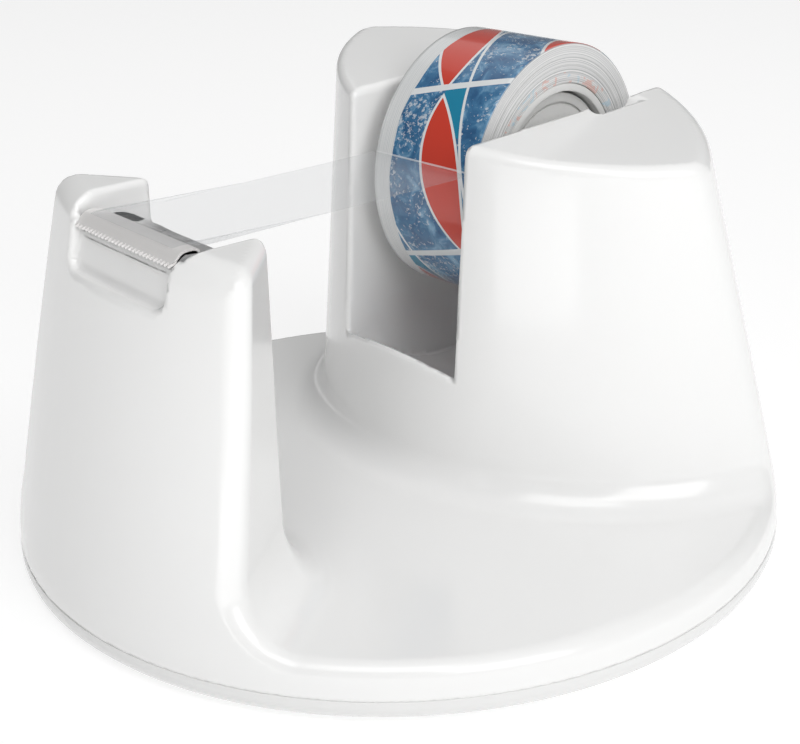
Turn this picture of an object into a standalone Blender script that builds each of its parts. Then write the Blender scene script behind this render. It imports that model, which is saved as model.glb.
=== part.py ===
"""Desk tape dispenser with its roll of tape: a Blender model in metres, +Z up.

The blade end faces -Y and the roll turns about an axis along X. The origin is the middle of the
footprint, on the surface that the dispenser stands on.
"""
from math import cos, pi, radians, sin

import bmesh
import bpy
from mathutils import Matrix, Vector

MM = 0.001
GAP = 0.3 * MM               # between pieces that touch

# Body, as plan ellipses that shrink with height
RIM_HALF_X = 56.2 * MM
RIM_HALF_Y = 59.0 * MM
SEAM_Z = 3.0 * MM            # joint between the base plate and the housing
RIM_Z = 6.2 * MM             # widest height of the body
DECK_Z = 8.6 * MM
SIDE_TAPER = 0.282           # inward slope of the tower's flanks, per unit of height
FRONT_TAPER = 0.225          # inward slope of the front, under the blade
BACK_TAPER = 0.262
FLANK_START_Y = -30.0 * MM   # in front of this line the flanks stand upright
WALL = 2.4 * MM
DECK_WALL = 1.8 * MM

# Tower: its front is part of a leaning round, and its top is one slanting cut
FRONT_FOOT_Y = 39.8 * MM
FRONT_FOOT_RADIUS = 43.2 * MM
FRONT_HEAD_Y = 35.7 * MM
FRONT_HEAD_RADIUS = 37.4 * MM
FRONT_HEAD_Z = 59.0 * MM
TOP_Z = 61.9 * MM            # height of the slanting cut over the origin
TOP_SLOPE_X = -0.147
TOP_SLOPE_Y = 0.062

# Post under the blade
POST_BACK_Y = -34.7 * MM
POST_BACK_HALF = 15.9 * MM   # half width of the back at deck height
POST_BACK_TAPER = 0.040
POST_FLARE = 0.68            # how much the sides open towards the front, at deck height
POST_FLARE_GAIN = 5.0        # and how much more for each metre above it
POST_TOP = 56.1 * MM         # height of the post's top over the origin
POST_TOP_SLOPE = -0.085      # it falls towards +X, like the tower's
LANDING_HALF = 10.2 * MM
LANDING_Z = 54.2 * MM
BLADE_LEDGE_HALF = 11.7 * MM
BLADE_LEDGE_BACK = -42.2 * MM
FINGER_HALF = 11.6 * MM
FINGER_Z = 48.0 * MM
FINGER_LIP_Y = -47.2 * MM
FINGER_TOP_Y = -45.2 * MM

# Roll and the slot that holds it
AXIS_Y = 21.9 * MM
AXIS_Z = 51.0 * MM
SLOT_HALF = 11.9 * MM
SLOT_RADIUS = 33.7 * MM
SLOT_WALL = 3.8 * MM
TAPE_HALF = 9.5 * MM         # tape 19 mm wide
ROLL_RADIUS = 19.8 * MM
CORE_RADIUS = 13.9 * MM
CORE_BORE = 12.7 * MM        # core for a 25.4 mm hub
HUB_INSET = 1.3 * MM         # how far the hub stands back from the side of the tape
SPINDLE_RADIUS = 3.0 * MM
SPINDLE_HALF = 13.9 * MM
GROOVE_DEPTH = 2.4 * MM
LIFT_LEAN = radians(37)      # the grooves lean back from upright
HUB_WALL = 1.6 * MM

# Blade and the tape that runs to it
BLADE_HALF = 11.2 * MM
BLADE_THICKNESS = 0.4 * MM
WEB_THICKNESS = 0.2 * MM
PEEL_ANGLE = 167.5           # degrees round the roll, from straight back

# Base
PAD_THICKNESS = 1.0 * MM
PLATE_Z = 0.6 * MM
PAD_INSET = 9.0 * MM
SCREWS = {
    "front": (0.0, -40.2 * MM),
    "left": (-19.0 * MM, 24.0 * MM),
    "right": (19.0 * MM, 24.0 * MM),
    "back": (0.0, 43.5 * MM),
}
SCREW_RADIUS = 1.25 * MM
SCREW_TIP_Z = 15.0 * MM
HEAD_RADIUS = 2.6 * MM
HEAD_Z = 1.6 * MM
HEAD_HEIGHT = 1.3 * MM
CUP_RADIUS = 4.4 * MM
CUP_TOP_Z = 5.2 * MM
BOSS_RADIUS = 4.0 * MM
BOSS_TOP_Z = 24.0 * MM
BALLAST_HALF_X = 48.0 * MM
BALLAST_HALF_Y = 50.5 * MM

STEPS = 72                   # sides of the body's ellipses
TURNED_STEPS = 56
BEND_STEPS = 12              # sides of the half circle at the foot of a groove

# How far the cutters reach past the body
REACH = 90.0 * MM
CUT_LOW = -5.0 * MM
CUT_HIGH = 90.0 * MM
BODY_TOP = 75.0 * MM
POST_CUT_TOP = 66.0 * MM
FAR_FRONT_Y = -75.0 * MM
BETWEEN_Y = -20.0 * MM       # between the post and the tower

FINISHES = {
    "white_gloss": ((0.86, 0.86, 0.85, 1.0), 0.0, 0.18),
    "white_satin": ((0.80, 0.80, 0.79, 1.0), 0.0, 0.42),
    "pad_rubber": ((0.10, 0.10, 0.11, 1.0), 0.0, 0.80),
    "ballast_steel": ((0.30, 0.30, 0.31, 1.0), 1.0, 0.55),
    "screw_steel": ((0.62, 0.62, 0.63, 1.0), 1.0, 0.35),
    "blade_steel": ((0.78, 0.76, 0.75, 1.0), 1.0, 0.22),
    "printed_tape": ((0.27, 0.45, 0.62, 1.0), 0.0, 0.20),
    "clear_tape": ((0.93, 0.94, 0.95, 0.35), 0.0, 0.12),
}


def material(name):
    """A Principled material with the finish of that name."""
    if name in bpy.data.materials:
        return bpy.data.materials[name]
    colour, metallic, roughness = FINISHES[name]
    new = bpy.data.materials.new(name)
    new.use_nodes = True
    shader = new.node_tree.nodes["Principled BSDF"]
    shader.inputs["Base Color"].default_value = colour
    shader.inputs["Metallic"].default_value = metallic
    shader.inputs["Roughness"].default_value = roughness
    shader.inputs["Alpha"].default_value = colour[3]
    new.diffuse_color = colour
    return new


def place(name, form, finish=None):
    """Make an object from a bmesh: a piece if it has a finish, and otherwise a cutter."""
    mesh = bpy.data.meshes.new(name)
    bmesh.ops.recalc_face_normals(form, faces=form.faces)
    form.to_mesh(mesh)
    form.free()
    piece = bpy.data.objects.new(name, mesh)
    if finish:
        mesh.materials.append(material(finish))
        mesh.shade_smooth()
        mesh.set_sharp_from_angle(angle=radians(35))
        parts.objects.link(piece)
    else:
        piece.hide_render = True
        piece.display_type = "WIRE"
        cutters.objects.link(piece)
    return piece


def boolean(piece, other, operation="DIFFERENCE"):
    """Cut another object from a piece, or join it to the piece."""
    step = piece.modifiers.new(other.name, "BOOLEAN")
    step.operation = operation
    step.solver = "EXACT"
    step.object = other


def loft(name, rings, finish=None):
    """Closed solid through rings of points that have the same count, with flat ends."""
    form = bmesh.new()
    loops = [[form.verts.new(point) for point in ring] for ring in rings]
    for low, high in zip(loops, loops[1:]):
        for i in range(len(low)):
            j = (i + 1) % len(low)
            form.faces.new((low[i], low[j], high[j], high[i]))
    bmesh.ops.triangulate(form, faces=form.faces)
    form.faces.new(loops[0])
    form.faces.new(loops[-1])
    return place(name, form, finish)


def oval(radius_x, radius_y, z, middle_y=0.0):
    """Ring of points round a level ellipse."""
    turns = [2 * pi * i / STEPS for i in range(STEPS)]
    return [(radius_x * cos(t), middle_y + radius_y * sin(t), z) for t in turns]


def box(name, low, high):
    """Box between two corners."""
    form = bmesh.new()
    size = Vector(high) - Vector(low)
    middle = (Vector(high) + Vector(low)) / 2
    bmesh.ops.create_cube(form, size=1.0, matrix=Matrix.Translation(middle) @ Matrix.Diagonal((*size, 1)))
    return place(name, form)


def rod(name, radius, low, high, middle=(0.0, 0.0), axis="Z", sides=24, finish=None):
    """Cylinder from low to high along an axis; middle gives its other two coordinates."""
    form = bmesh.new()
    if axis == "Z":
        turn = Matrix.Translation((middle[0], middle[1], (low + high) / 2))
    else:
        turn = Matrix.Translation(((low + high) / 2, middle[0], middle[1])) @ Matrix.Rotation(pi / 2, 4, "Y")
    bmesh.ops.create_cone(form, cap_ends=True, segments=sides, radius1=radius, radius2=radius,
                          depth=high - low, matrix=turn)
    return place(name, form, finish)


def strip(name, outline, half_width, finish=None):
    """Solid of one outline of (y, z) points, as wide as twice half_width along X."""
    form = bmesh.new()
    face = form.faces.new([form.verts.new((-half_width, y, z)) for y, z in outline])
    swept = bmesh.ops.extrude_face_region(form, geom=[face])["geom"]
    moved = [item for item in swept if isinstance(item, bmesh.types.BMVert)]
    bmesh.ops.translate(form, verts=moved, vec=(2 * half_width, 0.0, 0.0))
    return place(name, form, finish)


def ribbon(name, line, thickness, half_width, finish):
    """Bent strip of even thickness, laid on top of a line of (y, z) points."""
    upper = []
    for i, (y, z) in enumerate(line):
        before = line[max(i - 1, 0)]
        after = line[min(i + 1, len(line) - 1)]
        along = Vector((after[0] - before[0], after[1] - before[1])).normalized()
        upper.append((y - along.y * thickness, z + along.x * thickness))
    return strip(name, line + upper[::-1], half_width, finish)


def turned(name, profile, finish, parent):
    """Solid of revolution about the roll's axis; profile holds (radius, x), outer side first."""
    mesh = bpy.data.meshes.new(name)
    points = [(radius, 0.0, x) for radius, x in profile]
    edges = [(i, (i + 1) % len(points)) for i in range(len(points))]
    mesh.from_pydata(points, edges, [])
    mesh.materials.append(material(finish))
    piece = bpy.data.objects.new(name, mesh)
    parts.objects.link(piece)
    screw = piece.modifiers.new("turn", "SCREW")
    screw.steps = TURNED_STEPS
    screw.render_steps = TURNED_STEPS
    screw.use_merge_vertices = True
    screw.merge_threshold = 0.00001
    piece.parent = parent
    piece.rotation_euler = (0.0, pi / 2, 0.0)
    return piece


def body_ring(z, inset):
    """Ring round the body at a height: an ellipse that leans in, but stands upright beside the post."""
    rise = max(z - RIM_Z, 0.0)
    ring = []
    for i in range(STEPS):
        turn = 2 * pi * i / STEPS
        lean = FRONT_TAPER if sin(turn) < 0 else BACK_TAPER
        y = (RIM_HALF_Y - lean * rise - inset) * sin(turn)
        share = min(max(1 - y / FLANK_START_Y, 0.0), 1.0)
        x = (RIM_HALF_X - share * SIDE_TAPER * rise - inset) * cos(turn)
        ring.append((x, y, z))
    return ring


def post_ring(z, inset):
    """Plan of the post: wide at the front, which the body's outline trims, and narrow at the back."""
    rise = z - DECK_Z
    back = POST_BACK_HALF - POST_BACK_TAPER * rise - inset
    back_y = POST_BACK_Y - inset
    far = back + (POST_FLARE + POST_FLARE_GAIN * rise) * (back_y - FAR_FRONT_Y)
    return [(-far, FAR_FRONT_Y, z), (far, FAR_FRONT_Y, z), (back, back_y, z), (-back, back_y, z)]


def body_form(name, inset, floor_z, deck_z, top_drop, post_top, finish=None):
    """The body's outer form, or its hollow when inset from the outside by a wall."""
    form = loft(name, [body_ring(z, inset) for z in (floor_z, RIM_Z, BODY_TOP)], finish)
    lean_y = (FRONT_HEAD_Y - FRONT_FOOT_Y) / (FRONT_HEAD_Z - DECK_Z)
    lean_r = (FRONT_HEAD_RADIUS - FRONT_FOOT_RADIUS) / (FRONT_HEAD_Z - DECK_Z)
    rounds = []
    for z in (CUT_LOW, CUT_HIGH):
        radius = FRONT_FOOT_RADIUS + lean_r * (z - DECK_Z) - inset
        rounds.append(oval(radius, radius, z, FRONT_FOOT_Y + lean_y * (z - DECK_Z)))
    tower = loft(name + "_tower_round", rounds)
    post = loft(name + "_post_plan", [post_ring(z, inset) for z in (0.0, POST_CUT_TOP)])
    corners = ((-REACH, -REACH), (REACH, -REACH), (REACH, BETWEEN_Y), (-REACH, BETWEEN_Y))
    slant = [(x, y, post_top + POST_TOP_SLOPE * x) for x, y in corners]
    above_post = loft(name + "_above_post", [slant, [(x, y, CUT_HIGH) for x, y in corners]])
    boolean(post, above_post)

    gap = box(name + "_gap", (-REACH, -REACH, deck_z), (REACH, REACH, CUT_HIGH - MM))
    boolean(gap, tower)
    boolean(gap, post)
    boolean(form, gap)

    corners = ((-REACH, -REACH), (REACH, -REACH), (REACH, REACH), (-REACH, REACH))
    slant = [(x, y, TOP_Z - top_drop + TOP_SLOPE_X * x + TOP_SLOPE_Y * y) for x, y in corners]
    above = loft(name + "_above", [slant, [(x, y, 2 * REACH) for x, y in corners]])
    boolean(form, above)
    return form


def slot_form(name, half, radius):
    """The roll's slot: a trough about the roll's axis, open above it."""
    slot = rod(name, radius, -half, half, (AXIS_Y, AXIS_Z), "X", STEPS)
    open_top = box(name + "_open_top", (-half, BETWEEN_Y, AXIS_Z), (half, REACH, CUT_HIGH))
    boolean(slot, open_top, "UNION")
    return slot


def groove(name, half):
    """Spindle groove across both cheeks, leaning back as it rises."""
    width = SPINDLE_RADIUS + GAP
    up = Vector((sin(LIFT_LEAN), cos(LIFT_LEAN)))
    side = Vector((cos(LIFT_LEAN), -sin(LIFT_LEAN)))
    seat = Vector((AXIS_Y, AXIS_Z))
    turns = [-pi * i / BEND_STEPS for i in range(BEND_STEPS + 1)]
    bend = [seat + width * (side * cos(t) + up * sin(t)) for t in turns]
    outline = [seat + up * REACH + side * width, *bend, seat + up * REACH - side * width]
    return strip(name, [tuple(point) for point in outline], half)


def make_housing():
    """One moulding: rim, deck, post and the two cheeks, hollow and open below."""
    housing = body_form("housing", 0.0, SEAM_Z + GAP, DECK_Z, 0.0, POST_TOP, "white_gloss")
    hollow = body_form("hollow", WALL, -2 * MM, DECK_Z - DECK_WALL, WALL, FINGER_Z - WALL)
    boolean(hollow, slot_form("slot_lining", SLOT_HALF + SLOT_WALL, SLOT_RADIUS + WALL))
    for place_name, spot in SCREWS.items():
        boss = rod("boss_" + place_name, BOSS_RADIUS, CUP_TOP_Z + GAP, BOSS_TOP_Z, spot)
        boolean(hollow, boss)
    boolean(housing, hollow)
    boolean(housing, slot_form("slot", SLOT_HALF, SLOT_RADIUS))
    boolean(housing, groove("groove", SLOT_HALF + GROOVE_DEPTH))

    boolean(housing, box("landing", (-LANDING_HALF, BLADE_LEDGE_BACK - MM, LANDING_Z),
                         (LANDING_HALF, BETWEEN_Y, BODY_TOP)))
    boolean(housing, box("blade_ledge", (-BLADE_LEDGE_HALF, FAR_FRONT_Y, LANDING_Z),
                         (BLADE_LEDGE_HALF, BLADE_LEDGE_BACK, BODY_TOP + MM)))
    finger = [(FAR_FRONT_Y - MM, FINGER_Z), (FINGER_LIP_Y, FINGER_Z), (FINGER_TOP_Y, LANDING_Z - MM),
              (FINGER_TOP_Y, BODY_TOP + 2 * MM), (FAR_FRONT_Y - MM, BODY_TOP + 2 * MM)]
    boolean(housing, strip("finger_recess", finger, FINGER_HALF))
    for place_name, spot in SCREWS.items():
        pilot = rod("pilot_" + place_name, SCREW_RADIUS + GAP, 0.0, SCREW_TIP_Z + MM, spot)
        boolean(housing, pilot)
    return housing


def make_base():
    """Base plate with its screw cups, the ballast on it, the pad under it and the screws."""
    plate_rings = [(PLATE_Z, 1.2 * MM), (1.0 * MM, 0.45 * MM), (1.8 * MM, 0.1 * MM), (SEAM_Z, 0.0)]
    rings = [oval(RIM_HALF_X - inset, RIM_HALF_Y - inset, z) for z, inset in plate_rings]
    plate = loft("base_plate", rings, "white_gloss")
    pad_x = RIM_HALF_X - PAD_INSET
    pad_y = RIM_HALF_Y - PAD_INSET
    seat = loft("pad_seat", [oval(pad_x + GAP, pad_y + GAP, z) for z in (-MM, PAD_THICKNESS + GAP)])
    boolean(plate, seat)
    loft("grip_pad", [oval(pad_x, pad_y, z) for z in (0.0, PAD_THICKNESS)], "pad_rubber")

    ballast_low = SEAM_Z + GAP
    ballast_high = DECK_Z - DECK_WALL - GAP
    rings = [oval(BALLAST_HALF_X, BALLAST_HALF_Y, z) for z in (ballast_low, ballast_high)]
    ballast = loft("ballast_plate", rings, "ballast_steel")
    for place_name, spot in SCREWS.items():
        cup = rod("cup_" + place_name, CUP_RADIUS, SEAM_Z - MM, CUP_TOP_Z, spot)
        boolean(plate, cup, "UNION")
    for place_name, spot in SCREWS.items():
        sink = rod("sink_" + place_name, HEAD_RADIUS + GAP, 0.0, HEAD_Z + HEAD_HEIGHT + GAP, spot)
        clearance = rod("clearance_" + place_name, SCREW_RADIUS + GAP, 0.0, 8 * MM, spot)
        boolean(plate, sink)
        boolean(plate, clearance)
        boolean(ballast, rod("relief_" + place_name, CUP_RADIUS + 2 * GAP, 0.0, 12 * MM, spot))
        shank = rod("shank_" + place_name, SCREW_RADIUS, HEAD_Z + MM, SCREW_TIP_Z, spot)
        screw = rod("base_screw_" + place_name, HEAD_RADIUS, HEAD_Z, HEAD_Z + HEAD_HEIGHT, spot,
                    finish="screw_steel")
        boolean(screw, shank, "UNION")


def make_blade_and_web():
    """Stamped blade on its ledge, and the tape that runs from the roll over the landing to it."""
    under = LANDING_Z + GAP
    blade_line = [(-47.4 * MM, under - 1.2 * MM), (-46.8 * MM, under - 0.9 * MM),
                  (-46.1 * MM, under - 0.2 * MM), (-45.4 * MM, under), (-43.4 * MM, under),
                  (-42.8 * MM, under)]
    ribbon("cutter_blade", blade_line, BLADE_THICKNESS, BLADE_HALF, "blade_steel")
    blade_top = under + BLADE_THICKNESS + GAP
    peel_angle = radians(PEEL_ANGLE)
    peel_radius = ROLL_RADIUS + GAP + WEB_THICKNESS
    peel = (AXIS_Y + peel_radius * cos(peel_angle), AXIS_Z + peel_radius * sin(peel_angle))
    web_line = [(-46.0 * MM, blade_top), (-42.6 * MM, blade_top), (-40.0 * MM, LANDING_Z + GAP),
                (POST_BACK_Y - MM, LANDING_Z + GAP), peel]
    ribbon("tape_web", web_line, WEB_THICKNESS, TAPE_HALF, "clear_tape")


def make_roll():
    """Spindle, two-piece hub, core and wound tape, all about the roll's axis."""
    axis = bpy.data.objects.new("roll_axis", None)
    axis.location = (0.0, AXIS_Y, AXIS_Z)
    parts.objects.link(axis)

    spindle = rod("spindle", SPINDLE_RADIUS, -SPINDLE_HALF, SPINDLE_HALF, axis="X", sides=32,
                  finish="white_satin")
    spindle.parent = axis

    end = TAPE_HALF - HUB_INSET
    rim = CORE_BORE - GAP
    inner = rim - HUB_WALL
    bore = SPINDLE_RADIUS + 0.25 * MM
    sleeve = bore + HUB_WALL
    web_x = -end + 1.5 * MM
    drum = [(rim, end), (rim, -end), (bore, -end), (bore, end - 2.2 * MM), (sleeve, end - 2.2 * MM),
            (sleeve, web_x), (inner, web_x), (inner, end)]
    turned("hub_drum", drum, "white_satin", axis)
    cap_inner = end - 1.5 * MM
    cap = [(inner - GAP, end), (inner - GAP, cap_inner), (bore, cap_inner), (bore, end)]
    turned("hub_cap", cap, "white_satin", axis)
    turned("tape_core", [(CORE_RADIUS, TAPE_HALF), (CORE_RADIUS, -TAPE_HALF), (CORE_BORE, -TAPE_HALF),
                         (CORE_BORE, TAPE_HALF)], "white_satin", axis)
    wound = CORE_RADIUS + GAP
    turned("tape_winding", [(ROLL_RADIUS, TAPE_HALF), (ROLL_RADIUS, -TAPE_HALF), (wound, -TAPE_HALF),
                            (wound, TAPE_HALF)], "printed_tape", axis)


for old in list(bpy.data.objects):
    bpy.data.objects.remove(old, do_unlink=True)
parts = bpy.data.collections.new("tape_dispenser")
cutters = bpy.data.collections.new("cutters")
bpy.context.scene.collection.children.link(parts)
bpy.context.scene.collection.children.link(cutters)

make_housing()
make_base()
make_blade_and_web()
make_roll()
bpy.context.view_layer.update()
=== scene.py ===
"""Desk tape dispenser holding a roll of printed tape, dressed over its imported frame.

Lengths in the shape formulas are millimetres; make_mesh turns them into metres.
"""

import bpy
import numpy as np
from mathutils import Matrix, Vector


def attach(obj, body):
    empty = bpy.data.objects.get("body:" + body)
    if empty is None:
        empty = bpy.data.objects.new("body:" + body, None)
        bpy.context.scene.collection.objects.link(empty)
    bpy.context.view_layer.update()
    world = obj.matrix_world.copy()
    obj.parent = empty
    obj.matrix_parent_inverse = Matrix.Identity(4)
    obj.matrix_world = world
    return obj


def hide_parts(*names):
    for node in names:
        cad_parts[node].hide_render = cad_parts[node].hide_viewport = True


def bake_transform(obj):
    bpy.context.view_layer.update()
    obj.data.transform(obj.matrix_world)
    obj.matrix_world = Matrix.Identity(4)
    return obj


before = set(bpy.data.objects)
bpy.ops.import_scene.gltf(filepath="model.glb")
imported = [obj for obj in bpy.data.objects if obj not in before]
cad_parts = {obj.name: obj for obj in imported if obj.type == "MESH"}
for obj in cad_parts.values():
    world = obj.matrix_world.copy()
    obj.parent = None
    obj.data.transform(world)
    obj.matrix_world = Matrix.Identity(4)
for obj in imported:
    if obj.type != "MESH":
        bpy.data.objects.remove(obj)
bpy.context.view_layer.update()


# --- Housing -----------------------------------------------------------------------------------
# One glossy white injection moulding: rim, deck, the post under the blade and the two cheeks of
# the tower that carry the roll. Every edge is softly rounded and the post and the tower run into
# the deck in hollow fillets. It is screwed to the base plate from below.

MM = 0.001
RIM_HALF = (56.2, 59.0)
RIM_Z = 6.2
RIM_SOFT = 2.0               # height over which the skirt turns into the leaning flanks
DECK_Z = 8.6
SEAM_Z = 3.3
SEAM_ROUND = 0.9
SIDE_TAPER = 0.282
FRONT_TAPER = 0.225          # under the blade
BACK_TAPER = 0.262
FLANK_START = (-30.0, -4.0)  # the flanks stand upright before these Ys, and lean after them
RIM_ROUND = 2.0
CORNER_RISE = 6.0            # height above the deck over which the corners reach their own rounding
BETWEEN_Y = -15.0            # between the post and the tower

ROUND_FOOT = (39.8, 43.4)    # middle Y and radius of the tower's leaning round, at the deck
ROUND_HEAD = (35.7, 37.4)    # the same at ROUND_HEAD_Z
ROUND_HEAD_Z = 59.0
TOP_Z = 61.9
TOP_SLOPE = (-0.147, 0.062)
TOWER_FILLET = 5.0
TOWER_CORNER = 1.8
TOP_ROUND = 1.3

POST_BACK_Y = -34.7
POST_BACK_HALF = 15.9        # at deck height
POST_BACK_TAPER = 0.040
POST_FLARE = (0.68, 0.005)   # opening of the sides at deck height, and its gain for each mm above
POST_TOP = 56.1
POST_TOP_SLOPE = -0.085
POST_FILLET = 8.0
POST_CORNER = 3.4
POST_SHOULDER = 1.7
POST_BACK_ROUND = 0.8
LANDING_HALF = (10.2, 11.7)  # behind the blade, and beside it
LANDING_Z = 54.2
LEDGE_BACK_Y = -42.2
LEDGE_STEP = 0.8             # length over which the landing widens beside the blade
LANDING_ROUND = 0.7
LANDING_INNER = 0.5
RECESS_INNER = 0.6

RECESS_HALF = 11.0
RECESS_Z = 47.8
RECESS_CORNER = 2.0
RECESS_LIP_Y = -47.6
RECESS_LEAN = 0.30           # how far the recess wall leans back, per unit of height

AXIS = (21.9, 51.0)          # Y and Z of the roll's axis
SLOT_HALF = 11.86
SLOT_RADIUS = 33.7
SLOT_ROUND = 0.9
GROOVE_RADIUS = 3.3
GROOVE_HALF = 14.26
GROOVE_LEAN = np.radians(37)
GROOVE_ROUND = 0.5

GRID = 0.8                   # cell of the grid that the surface is taken from
GRID_MARGIN = 1.7


def joined(a, b, radius):
    """Union of two distances; where both are nearer than the radius, a quarter circle joins them."""
    corner = np.hypot(np.maximum(radius - a, 0), np.maximum(radius - b, 0))
    return np.maximum(radius, np.minimum(a, b)) - corner


def kept(a, b, radius):
    """Overlap of two distances, with the edge between them rounded to the radius."""
    return -joined(-a, -b, radius)


def flank(x, y, z):
    """Distance to the leaning oval: level of the ellipse at each height over its own slope."""
    above = z - RIM_Z
    rise = (above + np.hypot(above, RIM_SOFT)) / 2
    share = np.clip((y - FLANK_START[0]) / (FLANK_START[1] - FLANK_START[0]), 0, 1)
    half_x = RIM_HALF[0] - SIDE_TAPER * rise * share * share * (3 - 2 * share)
    half_y = RIM_HALF[1] - np.where(y < 0, FRONT_TAPER, BACK_TAPER) * rise
    level = np.hypot(x / half_x, y / half_y) + 1e-6
    pull = np.hypot(x / half_x ** 2, y / half_y ** 2) + 1e-9
    return (level - 1) * level / pull


def tower_round(x, y, z):
    """Distance to the leaning round that faces the post, over the length of its gradient."""
    share = (z - DECK_Z) / (ROUND_HEAD_Z - DECK_Z)
    lean_y, lean_r = np.subtract(ROUND_HEAD, ROUND_FOOT) / (ROUND_HEAD_Z - DECK_Z)
    middle = ROUND_FOOT[0] + share * (ROUND_HEAD[0] - ROUND_FOOT[0])
    radius = ROUND_FOOT[1] + share * (ROUND_HEAD[1] - ROUND_FOOT[1])
    reach = np.hypot(x, y - middle) + 1e-6
    climb = -(y - middle) / reach * lean_y - lean_r
    return (reach - radius) / np.hypot(1, climb)


def post_prism(x, y, z):
    """Distance to the post: two sides that close towards the back, a flat back and a top that
    falls towards +X."""
    rise = z - DECK_Z
    back = POST_BACK_HALF - POST_BACK_TAPER * rise
    slope = POST_FLARE[0] + POST_FLARE[1] * rise
    side = (np.abs(x) - back - slope * (POST_BACK_Y - y)) / np.hypot(1, slope)
    upright = kept(side, z - POST_TOP - POST_TOP_SLOPE * x, POST_SHOULDER)
    return kept(upright, y - POST_BACK_Y, POST_BACK_ROUND)


def roll_room(x, y, z):
    """Distance to what is cut for the roll: an open trough, and a leaning groove in each cheek."""
    over = z - AXIS[1]
    back = y - AXIS[0]
    trough = np.where(over > 0, -SLOT_RADIUS, np.hypot(back, over) - SLOT_RADIUS)
    trough = np.where(over > 0, np.maximum(trough, np.abs(back) - 2 * SLOT_RADIUS), trough)
    slot = np.maximum(np.abs(x) - SLOT_HALF, trough)
    along = back * np.sin(GROOVE_LEAN) + over * np.cos(GROOVE_LEAN)
    across = back * np.cos(GROOVE_LEAN) - over * np.sin(GROOVE_LEAN)
    groove = np.hypot(np.minimum(along, 0), across) - GROOVE_RADIUS
    return joined(slot, np.maximum(np.abs(x) - GROOVE_HALF, groove), GROOVE_ROUND)


def blade_room(x, y, z):
    """Distance to what is cut for the blade: the landing, wider beside it, and the finger recess."""
    wide = np.clip(0.5 - (y - LEDGE_BACK_Y) / LEDGE_STEP, 0, 1)
    half = LANDING_HALF[0] + (LANDING_HALF[1] - LANDING_HALF[0]) * wide
    landing = kept(np.abs(x) - half, LANDING_Z - z, LANDING_INNER)
    wall = y - RECESS_LIP_Y - RECESS_LEAN * (z - RECESS_Z)
    outline = kept(np.abs(x) - RECESS_HALF, RECESS_Z - z, RECESS_CORNER)
    recess = kept(outline, wall, RECESS_INNER)
    return np.minimum(landing, recess)


def housing_distance(x, y, z):
    """Distance to the whole moulding, below nought inside it."""
    body = joined(z - DECK_Z, post_prism(x, y, z), POST_FILLET)
    tower = kept(tower_round(x, y, z), z - TOP_Z - TOP_SLOPE[0] * x - TOP_SLOPE[1] * y, TOP_ROUND)
    body = joined(body, tower, TOWER_FILLET)
    own = np.where(y < BETWEEN_Y, POST_CORNER, TOWER_CORNER) - RIM_ROUND
    corner = RIM_ROUND + own * np.clip((z - DECK_Z) / CORNER_RISE, 0, 1)
    body = kept(body, flank(x, y, z), corner)
    body = kept(body, -roll_room(x, y, z), SLOT_ROUND)
    body = kept(body, -blade_room(x, y, z), LANDING_ROUND)
    return kept(body, SEAM_Z - z, SEAM_ROUND)


def slope_of(distance, points, step=0.02):
    """Gradient of a distance by differences across each point."""
    slope = np.empty_like(points)
    for axis in range(3):
        move = np.zeros(3)
        move[axis] = step
        slope[:, axis] = distance(*(points + move).T) - distance(*(points - move).T)
    return slope / (2 * step)


def settle(distance, points, rounds=4):
    """Points moved along the gradient until the distance is nought."""
    for _ in range(rounds):
        slope = slope_of(distance, points)
        points = points - slope * (distance(*points.T) / (slope ** 2).sum(1))[:, None]
    return points


def surface_net(distance, axes):
    """Closed mesh of a distance: one point in each grid cell that the surface crosses, at the mean
    of the crossings on its edges, and one quad round each crossed grid edge."""
    values = distance(*np.meshgrid(*axes, indexing="ij"))
    cells = np.array(values.shape) - 1
    total = np.zeros((cells.prod(), 3))
    count = np.zeros(cells.prod())
    quads = []
    for axis in range(3):
        near = np.take(values, range(cells[axis]), axis)
        far = np.take(values, range(1, cells[axis] + 1), axis)
        at = np.argwhere((near < 0) != (far < 0))
        start = near[tuple(at.T)]
        end = far[tuple(at.T)]
        point = np.stack([axes[k][at[:, k]] for k in range(3)], 1)
        pitch = axes[axis][at[:, axis] + 1] - point[:, axis]
        point[:, axis] += pitch * start / (start - end)
        ring = []
        for back in ((0, 0), (1, 0), (1, 1), (0, 1)):
            cell = at.copy()
            cell[:, (axis + 1) % 3] -= back[0]
            cell[:, (axis + 2) % 3] -= back[1]
            index = np.ravel_multi_index(cell.T, cells)
            np.add.at(total, index, point)
            np.add.at(count, index, 1)
            ring.append(index)
        ring = np.stack(ring, 1)
        ring[start > 0] = ring[start > 0][:, ::-1]
        quads.append(ring)
    used, faces = np.unique(np.concatenate(quads), return_inverse=True)
    return total[used] / count[used][:, None], faces.reshape(-1, 4)


def evened(distance, points, faces, rounds=6):
    """Points slid along the surface towards the middle of their neighbours."""
    a = faces.ravel()
    b = np.roll(faces, -1, 1).ravel()
    count = np.bincount(a, minlength=len(points)) + np.bincount(b, minlength=len(points))
    for _ in range(rounds):
        mean = np.empty_like(points)
        for axis in range(3):
            mean[:, axis] = (np.bincount(a, points[b, axis], len(points))
                             + np.bincount(b, points[a, axis], len(points))) / count
        normal = slope_of(distance, points)
        normal /= np.linalg.norm(normal, axis=1)[:, None]
        move = mean - points
        points = points + 0.6 * (move - normal * (move * normal).sum(1)[:, None])
        points = settle(distance, points, 1)
    return settle(distance, points, 3)


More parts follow.
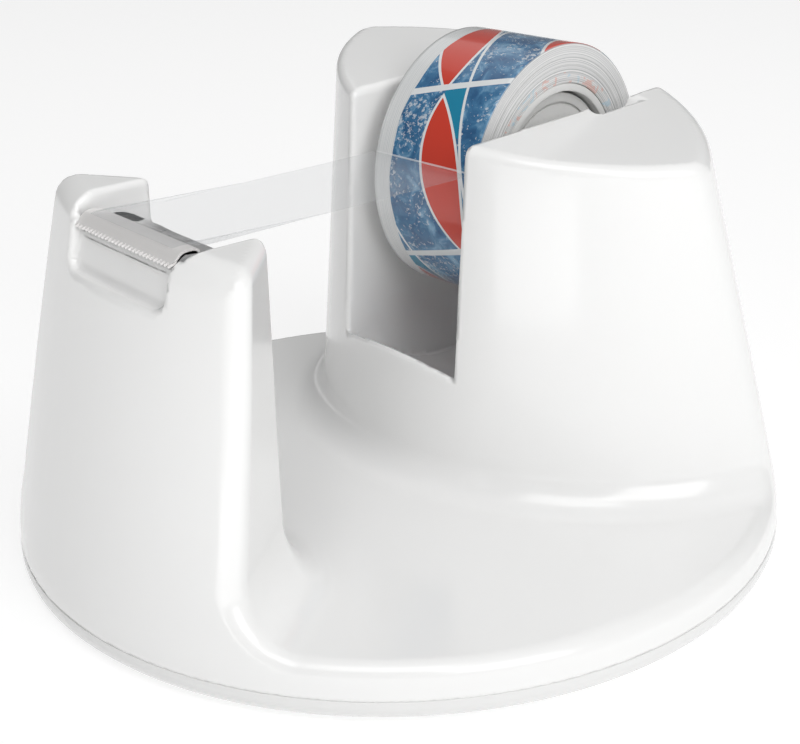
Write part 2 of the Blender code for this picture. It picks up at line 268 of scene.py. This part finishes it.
def edge_amount(distance, points, normal, reach=0.7):
    """How convex the surface is at each point: mean distance a short way along the tangents."""
    helper = np.where(np.abs(normal[:, 2:]) < 0.9, [[0, 0, 1.0]], [[1.0, 0, 0]])
    first = np.cross(normal, helper)
    first /= np.linalg.norm(first, axis=1)[:, None]
    second = np.cross(normal, first)
    total = sum(distance(*(points + sign * reach * side).T)
                for side in (first, second) for sign in (-1, 1))
    return total / (2 * reach)


def make_mesh(name, points, faces, material, normals=None, masks=None, uv=None):
    """Object from arrays: points in millimetres, faces with equal corner counts, and optional
    point normals, named point values and corner UVs."""
    mesh = bpy.data.meshes.new(name)
    corners = faces.shape[1]
    mesh.vertices.add(len(points))
    mesh.vertices.foreach_set("co", (points * MM).astype(np.float32).ravel())
    mesh.loops.add(faces.size)
    mesh.loops.foreach_set("vertex_index", faces.astype(np.int32).ravel())
    mesh.polygons.add(len(faces))
    mesh.polygons.foreach_set("loop_start", np.arange(0, faces.size, corners, dtype=np.int32))
    mesh.update(calc_edges=True)
    mesh.shade_smooth()
    if uv is not None:
        layer = mesh.uv_layers.new(name="UVMap")
        layer.uv.foreach_set("vector", uv.astype(np.float32).ravel())
    for mask, values in (masks or {}).items():
        attribute = mesh.attributes.new(mask, "FLOAT", "POINT")
        attribute.data.foreach_set("value", values.astype(np.float32))
    if normals is not None:
        mesh.normals_split_custom_set_from_vertices(normals.astype(np.float32))
    mesh.materials.append(material)
    piece = bpy.data.objects.new(name, mesh)
    bpy.context.scene.collection.objects.link(piece)
    return piece


def join_sockets(tree, pairs):
    """Link each (output, input) pair of sockets."""
    for output, target in pairs:
        tree.links.new(output, target)


def add_node(tree, kind, settings=None, **values):
    """New node of a kind, with its settings and the values of named sockets."""
    node = tree.nodes.new(kind)
    for key, value in (settings or {}).items():
        setattr(node, key, value)
    for key, value in values.items():
        node.inputs[key.replace("_", " ")].default_value = value
    return node


def make_surface_group():
    """Node group: fine grain, faint cloudiness and scuffed edges over a piece's own coordinates.
    It gives a shade factor, a roughness and a height."""
    group = bpy.data.node_groups.new("moulded_surface", "ShaderNodeTree")
    sockets = (("Vector", "NodeSocketVector", "INPUT"), ("Edge", "NodeSocketFloat", "INPUT"),
               ("Roughness", "NodeSocketFloat", "INPUT"), ("Grain", "NodeSocketFloat", "INPUT"),
               ("Shade", "NodeSocketFloat", "OUTPUT"), ("Roughness", "NodeSocketFloat", "OUTPUT"),
               ("Height", "NodeSocketFloat", "OUTPUT"))
    for name, kind, way in sockets:
        group.interface.new_socket(name, in_out=way, socket_type=kind)
    inside = add_node(group, "NodeGroupInput")
    outside = add_node(group, "NodeGroupOutput")
    cloud = add_node(group, "ShaderNodeTexNoise", Scale=90.0, Detail=3.0)
    grain = add_node(group, "ShaderNodeTexNoise", Scale=2600.0, Detail=2.0)
    scuff = add_node(group, "ShaderNodeTexNoise", Scale=420.0, Detail=5.0, Roughness=0.7)
    join_sockets(group, [(inside.outputs["Vector"], n.inputs["Vector"]) for n in (cloud, grain, scuff)])
    worn = add_node(group, "ShaderNodeMath", {"operation": "MULTIPLY"})
    join_sockets(group, [(inside.outputs["Edge"], worn.inputs[0]), (scuff.outputs["Fac"], worn.inputs[1])])
    shade = add_node(group, "ShaderNodeMath", {"operation": "MULTIPLY_ADD"})
    shade.inputs[1].default_value = 0.4
    join_sockets(group, [(cloud.outputs["Fac"], shade.inputs[0]), (worn.outputs[0], shade.inputs[2])])
    rough = add_node(group, "ShaderNodeMath", {"operation": "MULTIPLY_ADD"})
    rough.inputs[1].default_value = 0.07
    join_sockets(group, [(cloud.outputs["Fac"], rough.inputs[0]),
                         (inside.outputs["Roughness"], rough.inputs[2])])
    rub = add_node(group, "ShaderNodeMath", {"operation": "MULTIPLY_ADD"})
    rub.inputs[1].default_value = 0.25
    join_sockets(group, [(worn.outputs[0], rub.inputs[0]), (rough.outputs[0], rub.inputs[2])])
    height = add_node(group, "ShaderNodeMath", {"operation": "MULTIPLY"})
    join_sockets(group, [(grain.outputs["Fac"], height.inputs[0]),
                         (inside.outputs["Grain"], height.inputs[1]),
                         (shade.outputs[0], outside.inputs["Shade"]),
                         (rub.outputs[0], outside.inputs["Roughness"]),
                         (height.outputs[0], outside.inputs["Height"])])
    return group


surface_group = make_surface_group()


def moulded(name, low, high, roughness, grain, metallic=0.0, **extra):
    """Material of an even colour between two near shades, finished by the surface group."""
    new = bpy.data.materials.new(name)
    new.use_nodes = True
    tree = new.node_tree
    shader = tree.nodes["Principled BSDF"]
    where = add_node(tree, "ShaderNodeTexCoord")
    edge = add_node(tree, "ShaderNodeAttribute", {"attribute_name": "edge"})
    group = add_node(tree, "ShaderNodeGroup", {"node_tree": surface_group})
    group.inputs["Roughness"].default_value = roughness
    group.inputs["Grain"].default_value = grain
    tint = add_node(tree, "ShaderNodeMix", {"data_type": "RGBA"})
    for socket in tint.inputs:
        if socket.type == "RGBA" and socket.name in ("A", "B"):
            socket.default_value = (*(low if socket.name == "A" else high), 1)
    bump = add_node(tree, "ShaderNodeBump", Strength=0.3, Distance=0.00005)
    result = next(socket for socket in tint.outputs if socket.type == "RGBA")
    join_sockets(tree, [(where.outputs["Object"], group.inputs["Vector"]),
                        (edge.outputs["Fac"], group.inputs["Edge"]),
                        (group.outputs["Shade"], tint.inputs["Factor"]),
                        (result, shader.inputs["Base Color"]),
                        (group.outputs["Roughness"], shader.inputs["Roughness"]),
                        (group.outputs["Height"], bump.inputs["Height"]),
                        (bump.outputs["Normal"], shader.inputs["Normal"])])
    shader.inputs["Metallic"].default_value = metallic
    for key, value in extra.items():
        shader.inputs[key.replace("_", " ")].default_value = value
    return new


white_gloss = moulded("white_gloss", (0.87, 0.87, 0.865), (0.90, 0.90, 0.892), 0.15, 0.15,
                      Coat_Weight=0.25, Coat_Roughness=0.06)

grid_span = ((-RIM_HALF[0] - GRID_MARGIN, RIM_HALF[0] + GRID_MARGIN),
             (-RIM_HALF[1] - GRID_MARGIN, RIM_HALF[1] + GRID_MARGIN), (SEAM_Z - 1, 71.0))
grid_axes = [np.arange(low, high + GRID, GRID) for low, high in grid_span]
points, faces = surface_net(housing_distance, grid_axes)
points = evened(housing_distance, points, faces)
normals = slope_of(housing_distance, points)
normals /= np.linalg.norm(normals, axis=1)[:, None]
edge = np.clip(edge_amount(housing_distance, points, normals) * 1.6, 0, 1)
housing = make_mesh("housing_shell", points, faces, white_gloss, normals, {"edge": edge})
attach(housing, "dispenser")
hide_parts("housing")


# --- Base, ballast and screws ------------------------------------------------------------------
# The base plate closes the moulding from below and carries an anti-slip pad; four screws pull it
# up into the housing's bosses, and a blacked steel plate inside gives the weight.

white_base = moulded("white_base", (0.78, 0.78, 0.775), (0.82, 0.82, 0.812), 0.20, 0.2,
                     Coat_Weight=0.2, Coat_Roughness=0.08)
pad_rubber = moulded("pad_rubber", (0.060, 0.060, 0.064), (0.095, 0.095, 0.100), 0.78, 1.0)
ballast_steel = moulded("ballast_steel", (0.010, 0.010, 0.011), (0.030, 0.029, 0.028), 0.42, 0.6)
screw_steel = moulded("screw_steel", (0.46, 0.46, 0.47), (0.62, 0.61, 0.60), 0.30, 0.4, metallic=1.0)
white_satin = moulded("white_satin", (0.70, 0.70, 0.69), (0.77, 0.77, 0.76), 0.38, 0.5)
core_plastic = moulded("core_plastic", (0.74, 0.74, 0.73), (0.82, 0.82, 0.81), 0.34, 0.4)


def dress(node, finish):
    """Give a solid of the frame its material."""
    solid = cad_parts[node]
    solid.data.materials.clear()
    solid.data.materials.append(finish)


dress("grip_pad", pad_rubber)
dress("ballast_plate", ballast_steel)
for place in ("front", "left", "right", "back"):
    dress("base_screw_" + place, screw_steel)
dress("spindle", white_satin)

def lofted(rings, ends=True):
    """Points and triangles of the skin over rings with equal counts; with ends it closes on a
    middle point at either end, and otherwise the last ring joins the first."""
    count, size = rings.shape[:2]
    points = rings.reshape(-1, 3)
    row = np.arange(count - 1 if ends else count)[:, None] * size
    far = (row + size) % (count * size)
    here = np.arange(size)[None, :]
    after = (here + 1) % size
    faces = [np.stack([row + here, row + after, far + after], -1).reshape(-1, 3),
             np.stack([row + here, far + after, far + here], -1).reshape(-1, 3)]
    if ends:
        here, after = here[0], after[0]
        middle = count * size
        points = np.vstack([points, rings[0].mean(0), rings[-1].mean(0)])
        last = middle - size
        faces.append(np.stack([after, here, np.full(size, middle)], 1))
        faces.append(np.stack([last + here, last + after, np.full(size, middle + 1)], 1))
    faces = np.vstack(faces)
    a, b, c = (points[faces[:, k]] for k in range(3))
    if (np.cross(a, b) * c).sum() < 0:
        faces = faces[:, ::-1]
    return points, faces


BASE_STEPS = 288
BASE_PROFILE = ((9.0, 1.3), (8.7, 1.0), (8.6, 0.7), (8.4, 0.6), (2.6, 0.6), (1.6, 0.75), (0.8, 1.15),
                (0.3, 1.7), (0.05, 2.4), (0.0, 3.0), (0.03, 3.5), (0.12, 3.72), (1.2, 3.72), (1.3, 3.1))


def oval_skin(profile):
    """Skin over level ovals; profile holds (inset from the rim, z), from the underside's middle
    round the outside to the top's middle."""
    turn = np.arange(BASE_STEPS) * 2 * np.pi / BASE_STEPS
    inset, height = np.asarray(profile).T[:, :, None]
    rings = np.stack(np.broadcast_arrays((RIM_HALF[0] - inset) * np.cos(turn),
                                         (RIM_HALF[1] - inset) * np.sin(turn), height), -1)
    return lofted(rings)


base = make_mesh("base_shell", *oval_skin(BASE_PROFILE), white_base)
base.data.set_sharp_from_angle(angle=np.radians(40))
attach(base, "dispenser")
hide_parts("base_plate")


# --- Cutter blade ------------------------------------------------------------------------------
# A strip of bright spring steel, stamped into a shallow S with a row of fine teeth along its
# front edge and its rear edge curled down. It is pressed onto the ledge between the two horns.

BLADE_HALF = 11.15
BLADE_THICKNESS = 0.35
TEETH = 28
TOOTH_DEPTH = 0.6
BLADE_LINE = np.array([(-47.2, 53.4), (-46.8, 53.65), (-46.4, 53.95), (-46.05, 54.35), (-45.7, 54.7),
                       (-45.3, 54.95), (-44.8, 55.06), (-44.1, 55.1), (-43.4, 55.05), (-43.0, 54.9),
                       (-42.7, 54.6), (-42.65, 54.35)])


def thickened(line, thickness, steps):
    """Closed outline of a bent strip: the line resampled evenly, then back along its underside."""
    run = np.concatenate([[0], np.cumsum(np.linalg.norm(np.diff(line, axis=0), axis=1))])
    at = np.linspace(0, run[-1], steps)
    upper = np.stack([np.interp(at, run, line[:, k]) for k in range(2)], 1)
    along = np.gradient(upper, axis=0)
    along /= np.linalg.norm(along, axis=1)[:, None]
    lower = upper + thickness * np.stack([along[:, 1], -along[:, 0]], 1)
    return np.vstack([upper, lower[::-1]])


blade_steps = 30
outline = thickened(BLADE_LINE, BLADE_THICKNESS, blade_steps)
across = np.linspace(-BLADE_HALF, BLADE_HALF, TEETH * 8 + 1)
tooth = 1 - np.abs((across + BLADE_HALF) / (2 * BLADE_HALF) * TEETH % 1 * 2 - 1)
from_front = np.arange(2 * blade_steps)
reach = np.clip(1 - np.minimum(from_front, from_front[::-1]) / 3, 0, 1)
rings = np.empty((len(across), len(outline), 3))
rings[:, :, 0] = across[:, None]
notch = TOOTH_DEPTH * (1 - tooth[:, None]) * reach
rings[:, :, 1] = outline[:, 0] + 0.8 * notch
rings[:, :, 2] = outline[:, 1] + 0.6 * notch
blade_steel = moulded("blade_steel", (0.80, 0.785, 0.775), (0.92, 0.905, 0.895), 0.34, 0.8,
                       metallic=0.3)
blade = make_mesh("toothed_blade", *lofted(rings), blade_steel)
blade.data.set_sharp_from_angle(angle=np.radians(32))
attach(blade, "dispenser")
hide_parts("cutter_blade")


# --- Roll of tape ------------------------------------------------------------------------------
# Clear tape wound over a printed core liner: a mottled blue print with slanting pale lines and
# orange-red bands shows through the turns. The turns have slipped sideways a little, so the far
# side is a whitish band of layer edges. The roll sits loosely, turned a few degrees in its slot.

ROLL_RADIUS = 19.8
WOUND_RADIUS = 14.0
CORE_RADIUS = 13.95
CORE_BORE = 12.75
HUB_RADIUS = 12.4
HUB_HOLE = 4.2
HUB_END = 8.2
TAPE_HALF = 9.5
ROLL_TURN = 0.09
ROLL_SHIFT = -0.39
ROLL_STEPS = 288
PRINT_SEAM = np.radians(-90)  # under the roll


def turned(profile):
    """Skin of revolution about the roll's own axis; profile holds (radius, x) round one section."""
    angle = PRINT_SEAM + np.arange(ROLL_STEPS) * 2 * np.pi / ROLL_STEPS
    radius, along = np.asarray(profile).T
    back = radius * np.cos(angle)[:, None]
    rings = np.stack([along * np.cos(ROLL_TURN) - back * np.sin(ROLL_TURN) + ROLL_SHIFT,
                      along * np.sin(ROLL_TURN) + back * np.cos(ROLL_TURN) + AXIS[0],
                      radius * np.sin(angle)[:, None] + AXIS[1]], -1)
    return lofted(rings, ends=False)


def eased(corners, radius, steps=4):
    """Closed profile with each corner rounded to a radius."""
    corners = np.asarray(corners, float)
    turn = np.linspace(0, 1, steps)[:, None]
    rounded = []
    for before, corner, after in zip(np.roll(corners, 1, 0), corners, np.roll(corners, -1, 0)):
        start = corner + radius * (before - corner) / np.linalg.norm(before - corner)
        end = corner + radius * (after - corner) / np.linalg.norm(after - corner)
        rounded.append((1 - turn) ** 2 * start + 2 * turn * (1 - turn) * corner + turn ** 2 * end)
    return np.vstack(rounded)


slip = np.random.default_rng(7)
side_radius = np.linspace(ROLL_RADIUS - 0.15, WOUND_RADIUS + 0.1, 44)
side_slip = np.convolve(slip.normal(0, 0.07, 46), (0.25, 0.5, 0.25), "valid")
rim_x = np.linspace(-TAPE_HALF + 0.15, TAPE_HALF - 0.15, 40)
winding_profile = np.vstack([np.stack([np.full(40, ROLL_RADIUS), rim_x], 1),
                             np.stack([side_radius, TAPE_HALF - np.abs(side_slip)], 1),
                             [(WOUND_RADIUS, TAPE_HALF - 0.1), (WOUND_RADIUS, -TAPE_HALF + 0.1)],
                             np.stack([side_radius[::-1], -TAPE_HALF + np.abs(side_slip)], 1)])


def calc(tree, operation, first, *others):
    """Math node over sockets and numbers; gives its output."""
    node = add_node(tree, "ShaderNodeMath", {"operation": operation})
    for socket, value in zip(node.inputs, (first, *others)):
        if isinstance(value, (int, float)):
            socket.default_value = value
        else:
            tree.links.new(value, socket)
    return node.outputs[0]


def over(tree, mask, under, colour):
    """Mix node that lays a colour, or a colour socket, over another by a mask."""
    node = add_node(tree, "ShaderNodeMix", {"data_type": "RGBA"})
    below, above = [i for i in node.inputs if i.type == "RGBA"]
    for socket, value in ((below, under), (above, colour)):
        if isinstance(value, tuple):
            socket.default_value = (*value, 1)
        else:
            tree.links.new(value, socket)
    tree.links.new(mask, node.inputs["Factor"])
    return next(o for o in node.outputs if o.type == "RGBA")


def ramp(tree, value, stops):
    """Colour ramp over (place, colour) stops."""
    node = add_node(tree, "ShaderNodeValToRGB")
    elements = node.color_ramp.elements
    while len(elements) < len(stops):
        elements.new(0.5)
    for element, (place, colour) in zip(elements, stops):
        element.position = place
        element.color = (*colour, 1)
    tree.links.new(value, node.inputs["Fac"])
    return node.outputs["Color"]


PRINT_SLANT = np.radians(18)
PANEL = (25.1, 16.0)         # length along the slant and width across it, mm
PANEL_START = (23.3, -24.7)


def make_print():
    """Material of the wound tape: mottled panels, slanting lines, bands and teal corners on the
    rim, and fine rings of layers on the sides, under a clear coat."""
    new = bpy.data.materials.new("printed_tape")
    new.use_nodes = True
    tree = new.node_tree
    shader = tree.nodes["Principled BSDF"]
    where = add_node(tree, "ShaderNodeTexCoord")
    split = add_node(tree, "ShaderNodeSeparateXYZ")
    tree.links.new(where.outputs["UV"], split.inputs[0])
    arc = calc(tree, "MULTIPLY", split.outputs["X"], 100.0)
    side_x = calc(tree, "MULTIPLY", split.outputs["Y"], 100.0)
    slant = (float(np.cos(PRINT_SLANT)), float(np.sin(PRINT_SLANT)))
    along = calc(tree, "MULTIPLY_ADD", arc, slant[0], calc(tree, "MULTIPLY", side_x, slant[1]))
    across = calc(tree, "MULTIPLY_ADD", side_x, slant[0], calc(tree, "MULTIPLY", arc, -slant[1]))
    along = calc(tree, "FRACT", calc(tree, "DIVIDE", calc(tree, "SUBTRACT", along, PANEL_START[0]), PANEL[0]))
    across = calc(tree, "FRACT", calc(tree, "ADD", calc(
        tree, "DIVIDE", calc(tree, "SUBTRACT", across, PANEL_START[1]), PANEL[1]), 0.5))
    across = calc(tree, "MULTIPLY", calc(tree, "SUBTRACT", across, 0.5), PANEL[1])
    reach = calc(tree, "POWER", calc(tree, "ABSOLUTE", calc(tree, "DIVIDE", calc(
        tree, "SUBTRACT", along, 0.54), 0.47)), 2.0)
    lens = calc(tree, "SUBTRACT", calc(tree, "MULTIPLY_ADD", reach, -3.3, 3.3),
                calc(tree, "ABSOLUTE", across))
    noise = add_node(tree, "ShaderNodeTexNoise", Scale=330.0, Detail=7.0, Roughness=0.62, Distortion=0.7)
    froth = add_node(tree, "ShaderNodeTexNoise", Scale=1500.0, Detail=4.0, Roughness=0.75)
    broad = add_node(tree, "ShaderNodeTexNoise", Scale=95.0, Detail=2.0)
    join_sockets(tree, [(where.outputs["Object"], n.inputs["Vector"]) for n in (noise, froth, broad)])
    blue = ramp(tree, noise.outputs["Fac"], ((0.36, (0.018, 0.095, 0.225)), (0.52, (0.045, 0.170, 0.330)),
                                             (0.70, (0.24, 0.44, 0.62))))
    white = (0.74, 0.76, 0.77)
    patch = calc(tree, "MULTIPLY", calc(tree, "SUBTRACT", froth.outputs["Fac"], 0.36),
                 broad.outputs["Fac"])
    patch = calc(tree, "GREATER_THAN", patch, 0.112)
    colour = over(tree, calc(tree, "MULTIPLY", patch, 0.62), blue, white)
    corner = calc(tree, "MULTIPLY", calc(tree, "LESS_THAN", along, 0.34),
                  calc(tree, "MULTIPLY", calc(tree, "GREATER_THAN", across, 0.2),
                       calc(tree, "LESS_THAN", across, 3.7)))
    colour = over(tree, corner, colour, (0.004, 0.215, 0.36))
    colour = over(tree, calc(tree, "GREATER_THAN", lens, -0.45), colour, white)
    colour = over(tree, calc(tree, "GREATER_THAN", lens, 0.0), colour, (0.60, 0.042, 0.020))
    edge_line = calc(tree, "LESS_THAN", calc(tree, "ABSOLUTE", calc(tree, "SUBTRACT", across, 3.9)), 0.22)
    colour = over(tree, edge_line, colour, white)
    end_line = calc(tree, "GREATER_THAN", calc(tree, "ABSOLUTE", calc(tree, "SUBTRACT", along, 0.5)), 0.479)
    colour = over(tree, end_line, colour, white)

    rings = add_node(tree, "ShaderNodeAttribute", {"attribute_name": "layer"})
    side = add_node(tree, "ShaderNodeAttribute", {"attribute_name": "side"})
    fine = add_node(tree, "ShaderNodeTexNoise", {"noise_dimensions": "1D"}, Scale=1.0, Detail=3.0)
    tree.links.new(calc(tree, "MULTIPLY", side_x, 9.0), fine.inputs["W"])
    band = ramp(tree, fine.outputs["Fac"], ((0.30, (0.50, 0.53, 0.54)), (0.55, (0.76, 0.77, 0.77)),
                                            (0.75, (0.86, 0.86, 0.85))))
    slipped = calc(tree, "LESS_THAN", calc(tree, "ADD", side_x, calc(
        tree, "MULTIPLY", broad.outputs["Fac"], 1.2)), -5.6)
    colour = over(tree, slipped, colour, band)
    peel = calc(tree, "LESS_THAN", calc(tree, "ABSOLUTE", calc(tree, "SUBTRACT", arc, PEEL_ARC)), 0.13)
    colour = over(tree, calc(tree, "MULTIPLY", peel, 0.55), colour, (0.85, 0.86, 0.87))
    layers = add_node(tree, "ShaderNodeTexNoise", {"noise_dimensions": "1D"}, Scale=1.0, Detail=4.0,
                      Roughness=0.65)
    tree.links.new(calc(tree, "MULTIPLY", rings.outputs["Fac"], 4.6), layers.inputs["W"])
    flat = ramp(tree, layers.outputs["Fac"], ((0.33, (0.36, 0.37, 0.38)), (0.50, (0.68, 0.68, 0.68)),
                                              (0.68, (0.82, 0.82, 0.81))))
    near_core = calc(tree, "LESS_THAN", rings.outputs["Fac"], 15.6)
    warm = calc(tree, "MULTIPLY", near_core, calc(tree, "GREATER_THAN", noise.outputs["Fac"], 0.57))
    cool = calc(tree, "MULTIPLY", near_core, calc(tree, "LESS_THAN", noise.outputs["Fac"], 0.42))
    flat = over(tree, calc(tree, "MULTIPLY", warm, 0.5), flat, (0.72, 0.30, 0.22))
    flat = over(tree, calc(tree, "MULTIPLY", cool, 0.5), flat, (0.33, 0.56, 0.70))
    colour = over(tree, side.outputs["Fac"], colour, flat)
    tree.links.new(colour, shader.inputs["Base Color"])

    rough = calc(tree, "MULTIPLY_ADD", fine.outputs["Fac"], 0.14, 0.10)
    tree.links.new(calc(tree, "MULTIPLY_ADD", side.outputs["Fac"], 0.25, rough), shader.inputs["Roughness"])
    height = calc(tree, "ADD", calc(tree, "MULTIPLY", layers.outputs["Fac"], side.outputs["Fac"]),
                  calc(tree, "MULTIPLY", fine.outputs["Fac"], 0.3))
    bump = add_node(tree, "ShaderNodeBump", Strength=0.35, Distance=0.00006)
    join_sockets(tree, [(height, bump.inputs["Height"]), (bump.outputs["Normal"], shader.inputs["Normal"])])
    shader.inputs["Coat Weight"].default_value = 0.5
    shader.inputs["Coat Roughness"].default_value = 0.05
    return new


PEEL_ANGLE = np.radians(167.5)
PEEL_ARC = float((PEEL_ANGLE - PRINT_SEAM) * ROLL_RADIUS)
points, faces = turned(winding_profile)
size = len(winding_profile)
turn_index, profile_index = np.divmod(faces, size)
late = (turn_index.max(1) - turn_index.min(1) > ROLL_STEPS // 2)[:, None] & (turn_index < ROLL_STEPS // 2)
arc = (turn_index + ROLL_STEPS * late) * (2 * np.pi * ROLL_RADIUS / ROLL_STEPS)
uv = np.stack([arc, winding_profile[profile_index, 1]], -1).reshape(-1, 2) / 100
layer = np.tile(winding_profile[:, 0], ROLL_STEPS)
on_side = (layer < ROLL_RADIUS - 0.05).astype(float)
winding = make_mesh("wound_tape", points, faces, make_print(), masks={"side": on_side, "layer": layer}, uv=uv)
winding.data.set_sharp_from_angle(angle=np.radians(50))

core_profile = eased(((CORE_RADIUS, TAPE_HALF - 0.15), (CORE_RADIUS, -TAPE_HALF + 0.15),
                      (CORE_BORE, -TAPE_HALF + 0.15), (CORE_BORE, TAPE_HALF - 0.15)), 0.2)
core = make_mesh("core_ring", *turned(core_profile), core_plastic)

# The hub's cap snaps into its drum, which leaves a fine ring on the end face.
hub_profile = eased(((HUB_RADIUS, HUB_END), (HUB_RADIUS, -HUB_END), (HUB_HOLE, -HUB_END), (HUB_HOLE, HUB_END),
                     (10.7, HUB_END), (10.7, HUB_END - 0.5), (11.0, HUB_END - 0.5), (11.0, HUB_END)), 0.12)
hub = make_mesh("hub_disc", *turned(hub_profile), white_satin)
for piece, nodes, finish in ((winding, ("tape_winding",), "printed_tape"),
                             (core, ("tape_core",), "core_plastic"),
                             (hub, ("hub_drum", "hub_cap"), "white_satin")):
    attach(piece, "roll")
    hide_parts(*nodes)
for piece in (core, hub):
    piece.data.set_sharp_from_angle(angle=np.radians(40))


# --- Free end of the tape ----------------------------------------------------------------------
# One clear layer that peels off the front of the roll, crosses to the post, lies on the landing
# and sticks to the top of the blade.

WEB_HALF = 9.4
WEB_THICKNESS = 0.1
PEEL_RADIUS = ROLL_RADIUS + 0.12
peel = (AXIS[0] + PEEL_RADIUS * np.cos(PEEL_ANGLE), AXIS[1] + PEEL_RADIUS * np.sin(PEEL_ANGLE))
WEB_LINE = np.array([(-45.6, 55.12), (-44.6, 55.27), (-43.5, 55.28), (-42.8, 55.05),
                     (-41.9, 54.65), (-41.0, 54.42), (-39.5, 54.38), (-35.2, 54.40),
                     (-33.5, 54.48), peel])
WEB_FREE_Y = -34.0           # behind this line the web hangs free
WEB_SAG = 0.12
WEB_DRIFT = 1.36             # sideways shift at the roll, which sits turned in its slot
outline = thickened(WEB_LINE, WEB_THICKNESS, 120)
across = np.linspace(-WEB_HALF, WEB_HALF, 41)
rings = np.empty((len(across), len(outline), 3))
share = np.clip((outline[:, 0] - WEB_FREE_Y) / (peel[0] - WEB_FREE_Y), 0, 1)
rings[:, :, 0] = across[:, None] + share * WEB_DRIFT
rings[:, :, 1] = outline[:, 0]
sag = WEB_SAG * np.sin(np.pi * share) * (1 - (across[:, None] / WEB_HALF) ** 2)
rings[:, :, 2] = outline[:, 1] - sag
clear_tape = moulded("clear_tape", (0.55, 0.57, 0.59), (0.62, 0.64, 0.66), 0.10, 0.1, Alpha=0.11)
web = make_mesh("free_tape", *lofted(rings), clear_tape)
web.data.set_sharp_from_angle(angle=np.radians(40))
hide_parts("tape_web")
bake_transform(web)


# --- Stage -------------------------------------------------------------------------------------
# White table and surround, so that the moulding stands in even studio light.

bpy.context.scene.view_settings.view_transform = "Standard"

CAMERA_AT = (0.15549, -0.13776, 0.11199)
CAMERA_TURN = np.radians(48.59)
CAMERA_TILT = np.radians(23.22)
FOCAL_SHARE = 1489.56 / 800

WORLD_LIGHT = 0.22

camera_data = bpy.data.cameras.new("camera")
camera_data.sensor_width = 36.0
camera_data.lens = 36.0 * FOCAL_SHARE
camera_data.clip_start = 0.01
camera = bpy.data.objects.new("camera", camera_data)
camera.location = CAMERA_AT
camera.rotation_euler = (np.pi / 2 - CAMERA_TILT, 0.0, CAMERA_TURN)
bpy.context.scene.collection.objects.link(camera)
bpy.context.scene.camera = camera

world = bpy.data.worlds.new("surround")
world.use_nodes = True
world.node_tree.nodes["Background"].inputs["Color"].default_value = (1, 1, 1, 1)
world.node_tree.nodes["Background"].inputs["Strength"].default_value = WORLD_LIGHT
bpy.context.scene.world = world

floor_material = bpy.data.materials.new("table_white")
floor_material.use_nodes = True
floor_shader = floor_material.node_tree.nodes["Principled BSDF"]
floor_shader.inputs["Base Color"].default_value = (0.45, 0.45, 0.45, 1)
floor_shader.inputs["Roughness"].default_value = 0.9
floor_shader.inputs["Emission Color"].default_value = (1, 1, 1, 1)
floor_shader.inputs["Emission Strength"].default_value = 0.62
corners = np.array([(-3000, -3000, 0), (3000, -3000, 0), (3000, 3000, 0), (-3000, 3000, 0)], float)
table = make_mesh("table", corners, np.array([[0, 1, 2, 3]]), floor_material)

# A bright card lies on the table in front, and the near cheek mirrors it.
card_material = bpy.data.materials.new("card_bright")
card_material.use_nodes = True
card_shader = card_material.node_tree.nodes["Principled BSDF"]
card_shader.inputs["Emission Color"].default_value = (1, 1, 1, 1)
card_shader.inputs["Emission Strength"].default_value = 2.0
corners = np.array([(38, -118, 1), (56, -300, 1), (265, -240, 1), (135, -98, 1)], float)
make_mesh("card", corners, np.array([[0, 1, 2, 3]]), card_material)


def softbox(name, centre, target, size, power):
    """Area light at a centre, facing a target."""
    data = bpy.data.lights.new(name, "AREA")
    data.shape = "RECTANGLE"
    data.size, data.size_y = size
    data.energy = power
    lamp = bpy.data.objects.new(name, data)
    lamp.location = centre
    lamp.rotation_euler = (Vector(target) - Vector(centre)).to_track_quat("-Z", "Y").to_euler()
    bpy.context.scene.collection.objects.link(lamp)
    return lamp


softbox("key", (0.85, -0.10, 0.55), (0, 0, 0.03), (0.6, 0.7), 4.4)
softbox("overhead", (-0.1, 0.25, 1.0), (0, 0, 0.03), (1.5, 1.5), 3.8)
softbox("front_top", (0.35, -0.35, 0.85), (0, 0, 0.04), (0.5, 0.5), 2.3)
